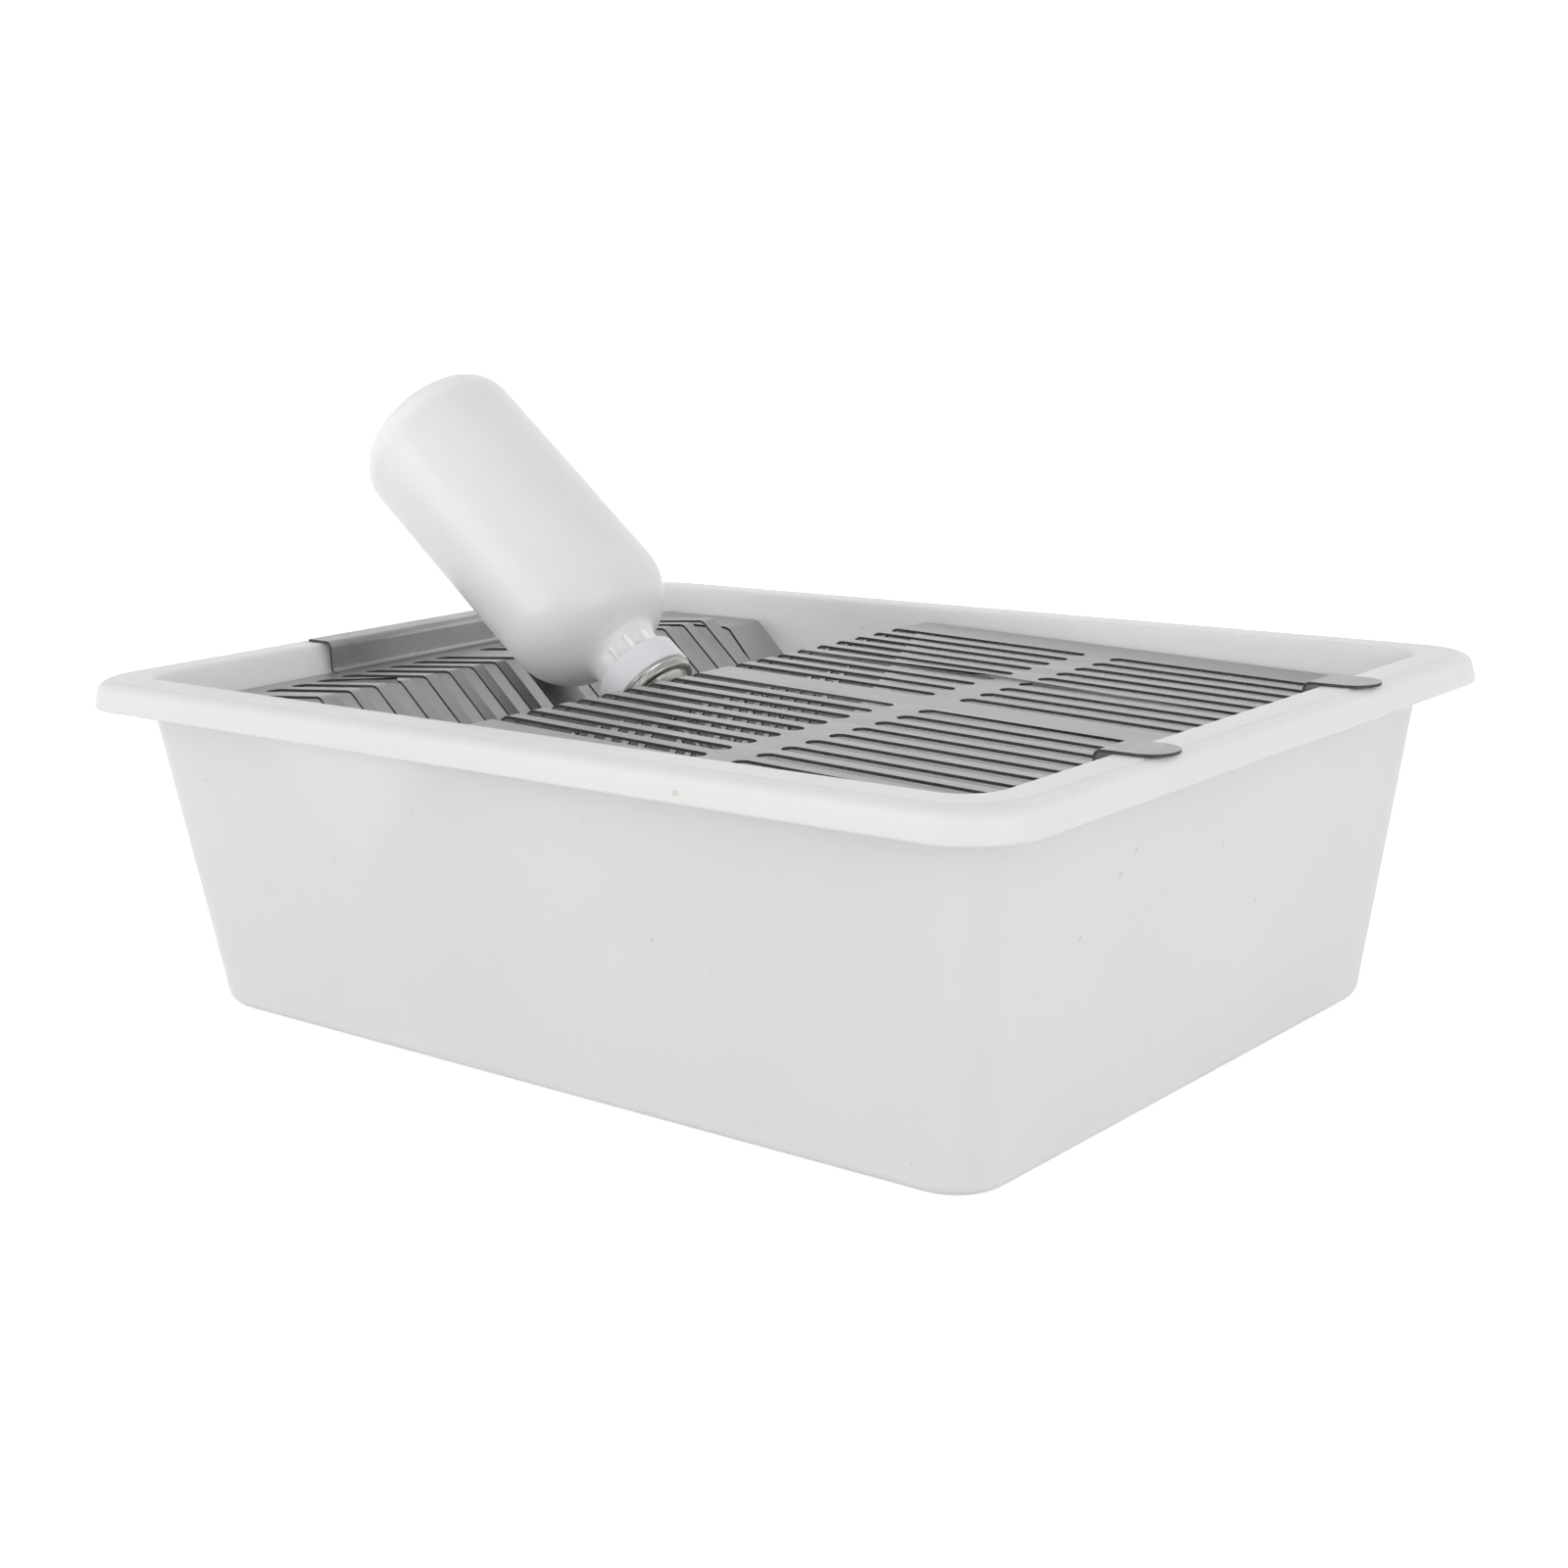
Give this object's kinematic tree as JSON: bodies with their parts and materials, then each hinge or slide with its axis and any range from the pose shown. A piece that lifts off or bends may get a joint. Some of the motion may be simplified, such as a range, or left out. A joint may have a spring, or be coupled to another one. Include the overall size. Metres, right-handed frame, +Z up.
{
  "type": "laboratory animal cage with feeding lid and drinking bottle",
  "caption": "Moulded plastic tub for small laboratory animals, closed by a slotted steel lid whose V trough holds feed and a drinking bottle; lid and bottle lift off.",
  "frame": {"origin": "middle of the tub's underside", "axes": "+X along the tub, from the lid's hook end to its tab end; +Y to the back; +Z up"},
  "size_m": [0.405, 0.3124, 0.2247],
  "materials": {
    "tub_plastic": "satin moulded polypropylene, slightly translucent",
    "lid_steel": "brushed stainless sheet with cut edges",
    "bottle_plastic": "satin blown polypropylene, translucent",
    "collar_silicone": "smooth white silicone",
    "cap_steel": "pressed and turned stainless steel"
  },
  "bodies": {
    "tub": {"tub": "tub_plastic"},
    "lid": {"hook_flange": "lid_steel", "ledge_panel": "lid_steel", "trough_slope": "lid_steel", "trough_wall": "lid_steel", "top_grille": "lid_steel", "front_tab": "lid_steel", "rear_tab": "lid_steel"},
    "cap": {"steel_cap": "cap_steel", "sipper_tube": "cap_steel"},
    "collar": {"sealing_collar": "collar_silicone"},
    "bottle": {"bottle": "bottle_plastic"}
  },
  "joints": [
    {"name": "lid_lift", "type": "slide", "parent": "tub", "child": "lid", "axis": [0, 0, 1], "range_m": [0, 0.16]},
    {"name": "bottle_lift", "type": "slide", "parent": "lid", "child": "cap", "axis": [-0.7751, 0, 0.6319], "range_m": [0, 0.12]},
    {"name": "collar_turn", "type": "hinge", "parent": "cap", "child": "collar", "pos_m": [-0.04761, 0, 0.09997], "axis": [0.7751, 0, -0.6319], "continuous": true},
    {"name": "bottle_unplug", "type": "slide", "parent": "collar", "child": "bottle", "axis": [-0.7751, 0, 0.6319], "range_m": [0, 0.03]}
  ]
}
